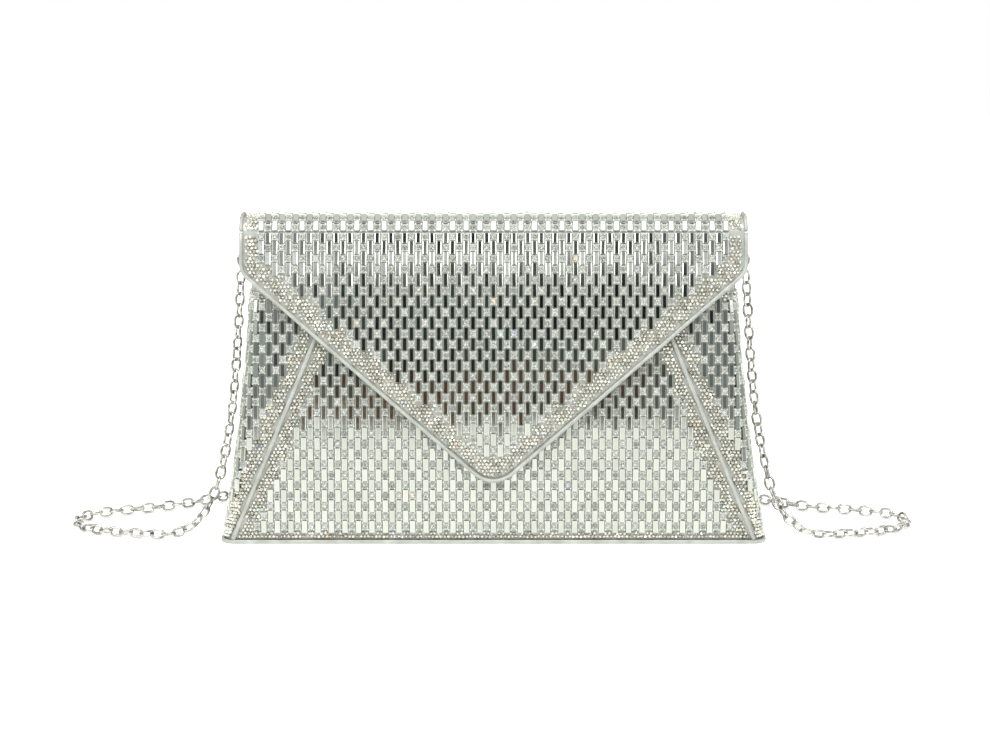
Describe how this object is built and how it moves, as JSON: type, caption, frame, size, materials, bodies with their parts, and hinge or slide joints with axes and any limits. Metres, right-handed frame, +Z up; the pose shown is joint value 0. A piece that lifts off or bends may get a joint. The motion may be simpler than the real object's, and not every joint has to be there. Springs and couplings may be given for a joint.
{
  "type": "clutch purse",
  "caption": "Envelope clutch purse covered in glass baguettes and round stones, with a pointed flap over a magnetic snap and a chain strap.",
  "frame": {"origin": "middle of the flat underside of the base", "axes": "+X to the right of the front, -Y out of the front (the flap side), +Z up"},
  "size_m": [0.4093, 0.1614, 0.155],
  "materials": {
    "silver_faux_leather": "fine-grained silver-grey faux leather with a soft metallic sheen",
    "silver_piping": "smooth pale silver-grey faux leather strip, turned and stitched",
    "crystal_sheet": "foil-backed clear glass baguettes and round stones, glued close together",
    "stiff_board": "grey pressed board",
    "foam_sheet": "thin soft foam",
    "satin_lining": "silver-grey satin",
    "polished_nickel": "polished nickel plate",
    "snap_steel": "plain steel",
    "chain_nickel": "nickel-plated cable chain"
  },
  "bodies": {
    "body": {"base_skin": "silver_faux_leather", "front_panel_centre": "silver_faux_leather", "front_panel_left": "silver_faux_leather", "front_panel_right": "silver_faux_leather", "back_panel": "silver_faux_leather", "ring_tab_left": "silver_faux_leather", "ring_tab_right": "silver_faux_leather", "base_binding": "silver_piping", "seam_piping_left": "silver_piping", "seam_piping_right": "silver_piping", "side_piping_left": "silver_piping", "side_piping_right": "silver_piping", "rim_binding": "silver_piping", "pocket_hem": "silver_piping", "front_stones_centre": "crystal_sheet", "front_stones_left": "crystal_sheet", "front_stones_right": "crystal_sheet", "base_board": "stiff_board", "front_board": "stiff_board", "back_board": "stiff_board", "side_foam_left": "foam_sheet", "side_foam_right": "foam_sheet", "base_lining": "satin_lining", "front_lining": "satin_lining", "back_lining": "satin_lining", "slip_pocket": "satin_lining", "snap_socket": "polished_nickel", "tab_rivet_left": "polished_nickel", "tab_rivet_right": "polished_nickel", "snap_magnet": "snap_steel", "chain_left": "chain_nickel", "chain_coil": "chain_nickel", "chain_right": "chain_nickel"},
    "fold_strip": {"fold_stones": "crystal_sheet", "fold_skin": "silver_faux_leather", "fold_lining": "satin_lining", "fold_piping": "silver_piping"},
    "flap": {"flap_lining": "satin_lining", "flap_board": "stiff_board", "flap_skin": "silver_faux_leather", "flap_stones": "crystal_sheet", "flap_piping": "silver_piping", "snap_stud": "polished_nickel", "snap_stud_washer": "snap_steel"},
    "strap_ring_left": {"strap_ring_left": "polished_nickel", "end_ring_left": "polished_nickel"},
    "strap_ring_right": {"strap_ring_right": "polished_nickel", "end_ring_right": "polished_nickel"}
  },
  "joints": [
    {"name": "back_fold", "type": "hinge", "parent": "body", "child": "fold_strip", "pos_m": [0, 0.008, 0.1475], "axis": [-1, 0, 0], "range_deg": [0, 100]},
    {"name": "front_fold", "type": "hinge", "parent": "fold_strip", "child": "flap", "pos_m": [0, -0.01417, 0.1475], "axis": [-1, 0, 0], "range_deg": [0, 95]},
    {"name": "ring_swing_left", "type": "hinge", "parent": "body", "child": "strap_ring_left", "pos_m": [-0.1164, 0, 0.1385], "axis": [0, 1, 0], "range_deg": [-12, 12]},
    {"name": "ring_swing_right", "type": "hinge", "parent": "body", "child": "strap_ring_right", "pos_m": [0.1164, 0, 0.1385], "axis": [0, -1, 0], "range_deg": [-12, 12]}
  ]
}
